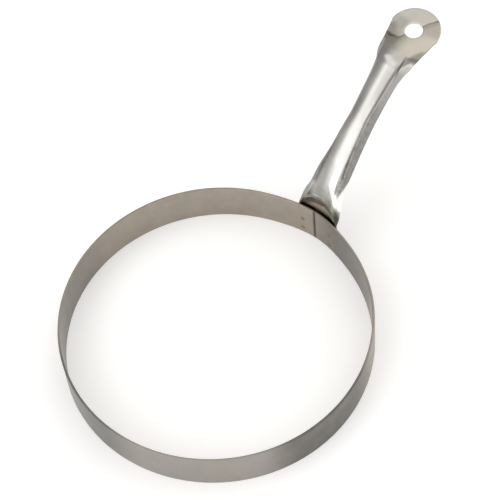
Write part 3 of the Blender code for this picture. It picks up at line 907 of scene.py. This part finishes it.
def make_band_steel():
    """Mill-finished strip: fine rolling lines, faint mottling, painted shade, tinted weld marks.
    """
    material = bpy.data.materials.new("band_mill_steel")
    graph = Graph(material)
    place = graph.add("ShaderNodeTexCoord", output="Object")
    on_sheet = graph.add("ShaderNodeUVMap", uv_map=SHEET_MAP)
    rolling = graph.noise(on_sheet, *BAND_ROLLING)
    cloud = graph.noise(place, *BAND_CLOUD)
    fields = {
        "streaks": graph.noise(on_sheet, *BAND_STREAKS),
        "mottle": graph.noise(place, *BAND_MOTTLE),
        "weld": weld_distance(graph, place),
    }
    tone = graph.lay(BAND_DARK, fields, BAND_LAYERS)
    # Painted shade in sectors round the band, and the dark line of the seam
    tone = paint_band_shade_and_seam(graph, place, fields, tone)
    tone = graph.lay(tone, fields, BAND_WELD_LAYERS)
    roughness = graph.math("ADD", graph.ease(cloud, *BAND_CLOUD_ROUGH),
                           graph.ease(rolling, *BAND_LINE_ROUGH))
    normal = graph.bump(rolling, BAND_LINE_DEPTH, graph.bump(cloud, BAND_WAVE))
    graph.finish(graph.shader("ShaderNodeBsdfPrincipled", Base_Color=tone, Metallic=1.0,
                              Roughness=roughness, Normal=normal))
    return material


def paint_band_shade_and_seam(graph, place, fields, tone):
    """Painted shade in slow sectors round the band, inside and outside apart; dark seam line."""
    spoke = graph.vector("SUBTRACT", place, (0.0, BAND_AXIS_Y, 0.0))
    facing = graph.add("ShaderNodeTexCoord", output="Normal")
    outward = graph.vector("DOT_PRODUCT", spoke, facing, "Value")
    x, y = graph.axes(spoke)[:2]
    azimuth = graph.math("DEGREES", graph.math("ARCTAN2", y, x))
    for side, middle, half_width, soft, strength, paint in BAND_PAINTED_SHADE_AND_SEAM:
        sector = dict(fields, turn=graph.turn(azimuth, middle),
                      outward=graph.math("MULTIPLY", outward, side))
        width = ("turn", half_width, half_width + soft, strength, 0.0)
        tone = graph.lay(tone, sector, ((paint, width, BAND_SHADE_SIDE, BAND_SHADE_GRAIN),))
    return tone


def make_handle_steel():
    """Pressed steel, polished on top, with painted shade and highlights, tinted towards the
    welds.
    """
    material = bpy.data.materials.new("handle_bright_steel")
    graph = Graph(material)
    place = graph.add("ShaderNodeTexCoord", output="Object")
    facing = graph.add("ShaderNodeTexCoord", output="Normal")
    on_sheet = graph.add("ShaderNodeUVMap", uv_map=SHEET_MAP)
    lines = graph.noise(on_sheet, *HANDLE_LINES)
    grain = graph.noise(place, *HANDLE_GRAIN)
    cloud = graph.noise(place, *HANDLE_CLOUD)
    reach, station = graph.axes(on_sheet)[:2]
    fields = {
        "reach": reach,
        "station": station,
        "cloud": cloud,
        "streaks": graph.noise(on_sheet, *HANDLE_STREAKS),
        "patches": graph.noise(place, *HANDLE_PATCHES),
        "flank noise": graph.noise(place, *FLANK_NOISE),
        "weld": weld_distance(graph, place),
        "upper": graph.vector("DOT_PRODUCT", facing, (0.0, -1.0, 1.0), "Value"),
    }
    shaft_fields(graph, fields)
    reflection_line_fields(graph, fields)
    foot_fields(graph, fields)
    tone = graph.lay(HANDLE_DARK, fields, HANDLE_LAYERS)
    underside = graph.lay(tone, fields, UNDERSIDE_LAYERS)
    tone = graph.lay(tone, fields, SHAFT_LAYERS + PADDLE_REFLECTION_LAYERS + FOOT_LAYERS)
    tone = graph.mix(graph.share(fields, (TOP_SIDE,)), underside, tone)
    roughness = graph.math("ADD", graph.ease(cloud, *HANDLE_CLOUD_ROUGH),
                           graph.ease(lines, *HANDLE_LINE_ROUGH))
    scratched = graph.bump(lines, HANDLE_LINE_DEPTH, graph.bump(cloud, HANDLE_WAVE))
    normal = graph.bump(grain, HANDLE_GRAIN_DEPTH, scratched)
    graph.finish(graph.shader("ShaderNodeBsdfPrincipled", Base_Color=tone, Metallic=1.0,
                              Roughness=roughness, Normal=normal,
                              Specular_Tint=HANDLE_EDGE_TINT))
    return material


def shaft_fields(graph, fields):
    """Where shade is painted down the flanks of the shaft and a highlight on its root."""
    reach = fields["reach"]
    station = fields["station"]
    fields["side"] = graph.math("ADD", graph.math("ABSOLUTE", reach),
                                graph.ease(reach, *LEFT_FLANK_SHIFT))
    fields["tip slant"] = graph.math("SUBTRACT", reach,
                                     graph.math("MULTIPLY", station, TIP_SLANT))
    fields["edge reach"] = graph.math("ADD", reach, graph.ease(station, *EDGE_REACH))
    fields["bright slant"] = graph.math("ADD", reach,
                                        graph.math("MULTIPLY", station, BRIGHT_SLANT))
    tip = graph.share(fields, TIP_RANGES)
    flank = graph.math("MULTIPLY", graph.share(fields, FLANK_RANGES),
                       graph.math("SUBTRACT", 1.0, tip))
    fields["flank"] = graph.math("MAXIMUM", flank, graph.share(fields, EDGE_RANGES))
    # Painted shade of the flanks, mottled between a darker and a lighter grey
    fields["flank finish"] = graph.mix(graph.share(fields, (FLANK_TONE,)), FLANK_PAINTED_SHADE, FLANK_PAINTED_SHADE_LIGHT)
    end = graph.ease(reach, *BRIGHT_END)
    end_start = graph.math("MULTIPLY", end, BRIGHT_END_START)
    fields["bright end"] = graph.ease(station, end_start, end, 1.0, 0.0)
    # Painted highlight on the root's right side
    fields["bright"] = graph.math("MAXIMUM", graph.share(fields, BRIGHT_RANGES), tip)


def reflection_line_fields(graph, fields):
    """Distances from the lines of painted reflection and shade on the paddle and by the fold."""
    reach = fields["reach"]
    station = fields["station"]
    along = graph.math("SUBTRACT", station, HOLE_STATION)
    bent = graph.math("SMOOTH_MAX", reach, REFLECTION_LINE_BEND, REFLECTION_LINE_ROUND)
    slope = graph.ease(bent, REFLECTION_LINE_BEND, 0.0, REFLECTION_LINE_STEEP, REFLECTION_LINE_SLOPE)
    past = graph.math("SUBTRACT", along, graph.math("MULTIPLY", bent, slope))
    beyond = graph.math("SUBTRACT", bent, reach)
    past = graph.math("SUBTRACT", past, graph.math("MULTIPLY", beyond, REFLECTION_LINE_RISE))
    past = graph.math("ADD", past, graph.ease(fields["patches"], *REFLECTION_LINE_WANDER))
    fields["past line"] = past
    fields["off line"] = graph.math("ABSOLUTE", past)
    fields["off hole"] = graph.math("ABSOLUTE", along)
    fields["off fold"] = graph.gap(reach, graph.ease(station, *FOLD_REACH))
    slant = graph.math("SUBTRACT", station, graph.math("MULTIPLY", reach, CAP_SLANT))
    fields["off cap"] = graph.gap(slant, CAP_STATION)


def foot_fields(graph, fields):
    """Where the crease's painted shade on its lower side starts, and the finish of the foot's
    face.
    """
    end = graph.ease(fields["reach"], *TOE_END)
    fields["past toe"] = graph.math("SUBTRACT", fields["station"], end)
    fields["foot finish"] = graph.mix(graph.share(fields, (FOOT_TONE,)), FOOT_ROSE, FOOT_PALE)


def make_weld_steel():
    """Fused, oxidised steel of the nuggets between the sheets."""
    material = bpy.data.materials.new("weld_fused_steel")
    graph = Graph(material)
    grain = graph.noise(graph.add("ShaderNodeTexCoord", output="Object"), *WELD_GRAIN)
    tone = graph.mix(graph.ease(grain, *WELD_TONE), WELD_BROWN, WELD_GREY)
    graph.finish(graph.shader("ShaderNodeBsdfPrincipled", Base_Color=tone, Metallic=1.0,
                              Roughness=graph.ease(grain, *WELD_ROUGH),
                              Normal=graph.bump(grain, WELD_GRAIN_DEPTH)))
    return material


# Studio

ROOM_GREY = colour(0.62, 0.615, 0.60)
ROOM_CEILING = colour(1.18, 1.16, 1.13)
# Elevations between which the room turns into its ceiling
CEILING_START = (50.0, 70.0)
# Middle azimuth, half width, elevation, half height, softness, all in degrees, and colour
ROOM_PATCHES = (
    (75.0, 38.0, 30.0, 24.0, 14.0, colour(1.20, 1.19, 1.16)),
    (176.0, 40.0, 14.0, 30.0, 12.0, colour(0.46, 0.45, 0.43)),
    (-122.0, 40.0, 5.0, 4.0, 8.0, colour(0.74, 0.75, 0.73)),
    (-103.0, 22.0, 34.0, 14.0, 9.0, colour(1.02, 1.01, 0.98)),
    (-98.0, 12.0, 19.0, 5.0, 8.0, colour(1.80, 1.78, 1.74)),
    (-125.0, 35.0, 57.0, 6.0, 8.0, colour(1.65, 1.63, 1.60)),
    (-81.0, 8.0, 15.0, 4.0, 5.0, colour(1.95, 1.93, 1.88)),
    (-57.0, 12.0, 2.0, 8.0, 8.0, colour(1.95, 1.93, 1.88)),
    (-18.0, 14.0, 4.0, 8.0, 6.0, colour(1.60, 1.58, 1.54)),
)
# Azimuth and elevation in degrees, distance, width and height in metres, and radiance
KEY_LAMP = (-103.0, 37.0, 1.1, 0.70, 0.46, 1.09)
FLOOR_SIZE = 12.0
FLOOR_CELLS = 8
FLOOR_PAPER = colour(0.88, 0.88, 0.88)
FLOOR_GLOW = 0.26
# Camera fitted to the outlines of the band's four rims; its place is measured from the band's
# axis
CAMERA_SENSOR = 36.0
CAMERA_LENS = 134.42
CAMERA_RIGHT = (0.761615, 0.645280, -0.059638)
CAMERA_UP = (-0.517714, 0.661227, 0.542911)
CAMERA_BACK = (0.389763, -0.382614, 0.837670)
CAMERA_PLACE = (0.34970, -0.31487, 0.80077)


def direction(azimuth, elevation):
    """Unit vector towards an azimuth and elevation in degrees."""
    a = math.radians(azimuth)
    e = math.radians(elevation)
    return Vector((math.cos(e) * math.cos(a), math.cos(e) * math.sin(a), math.sin(e)))


def make_room():
    """World: a grey room, lighter overhead, with pale and dark patches for the steel."""
    world = bpy.data.worlds.new("studio_room")
    bpy.context.scene.world = world
    graph = Graph(world)
    x, y, z = graph.axes(graph.add("ShaderNodeTexCoord", output="Generated"))
    azimuth = graph.math("DEGREES", graph.math("ARCTAN2", y, x))
    elevation = graph.math("DEGREES", graph.math("ARCSINE", z))
    tone = graph.mix(graph.ease(elevation, *CEILING_START), ROOM_GREY, ROOM_CEILING)
    for middle, half_width, height, half_height, soft, shade in ROOM_PATCHES:
        away = {"turn": graph.turn(azimuth, middle), "climb": graph.gap(elevation, height)}
        wide = ("turn", half_width, half_width + soft, 1.0, 0.0)
        tall = ("climb", half_height, half_height + soft, 1.0, 0.0)
        tone = graph.lay(tone, away, ((shade, wide, tall),))
    graph.finish(graph.shader("ShaderNodeBackground", Color=tone, Strength=1.0),
                 "ShaderNodeOutputWorld")


def make_floor():
    """Wide white floor that keeps the object's shadow and shows white by itself."""
    bpy.ops.mesh.primitive_grid_add(size=FLOOR_SIZE, x_subdivisions=FLOOR_CELLS,
                                    y_subdivisions=FLOOR_CELLS)
    floor = bpy.context.object
    floor.name = "studio_floor"
    material = bpy.data.materials.new("floor_white")
    graph = Graph(material)
    rays = graph.tree.nodes.new("ShaderNodeLightPath")
    seen = graph.math("MAXIMUM", rays.outputs["Is Camera Ray"], rays.outputs["Is Glossy Ray"])
    seen = graph.math("MAXIMUM", seen, rays.outputs["Is Transmission Ray"])
    paper = graph.shader("ShaderNodeBsdfDiffuse", Color=FLOOR_PAPER)
    glow = graph.shader("ShaderNodeEmission", Color=colour(1.0, 1.0, 1.0),
                        Strength=graph.math("MULTIPLY", seen, FLOOR_GLOW))
    graph.finish(graph.add("ShaderNodeAddShader", paper, glow))
    floor.data.materials.append(material)


def make_lamp(name, azimuth, elevation, distance, width, height, radiance):
    """Rectangular soft lamp that faces the object, its strength given as a radiance."""
    lamp = bpy.data.lights.new(name, "AREA")
    lamp.shape = "RECTANGLE"
    lamp.size = width
    lamp.size_y = height
    lamp.energy = radiance * math.pi * width * height
    item = bpy.data.objects.new(name, lamp)
    target = Vector((0.0, BAND_AXIS_Y + OUTER_RADIUS, BAND_HEIGHT))
    item.location = target + direction(azimuth, elevation) * distance
    item.rotation_euler = (target - item.location).to_track_quat("-Z", "Y").to_euler()
    bpy.context.scene.collection.objects.link(item)


def make_camera():
    """Camera of the photograph."""
    camera = bpy.data.cameras.new("photo_camera")
    camera.sensor_width = CAMERA_SENSOR
    camera.lens = CAMERA_LENS
    item = bpy.data.objects.new("photo_camera", camera)
    turn = Matrix((CAMERA_RIGHT, CAMERA_UP, CAMERA_BACK)).transposed().to_4x4()
    place = Vector(CAMERA_PLACE) + Vector((0.0, BAND_AXIS_Y, 0.0))
    item.matrix_world = Matrix.Translation(place) @ turn
    bpy.context.scene.collection.objects.link(item)
    bpy.context.scene.camera = item


def main():
    band = make_band(make_band_steel())
    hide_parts("ring_band")
    handle = make_handle(make_handle_steel())
    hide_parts("handle")
    for piece in (band, handle):
        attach(piece, "root")
    weld_steel = make_weld_steel()
    for name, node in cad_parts.items():
        if name.startswith("spot_weld"):
            node.data.materials.clear()
            node.data.materials.append(weld_steel)
    make_floor()
    make_room()
    make_lamp("key_softbox", *KEY_LAMP)
    make_camera()
    bpy.context.scene.view_settings.view_transform = "Standard"


main()
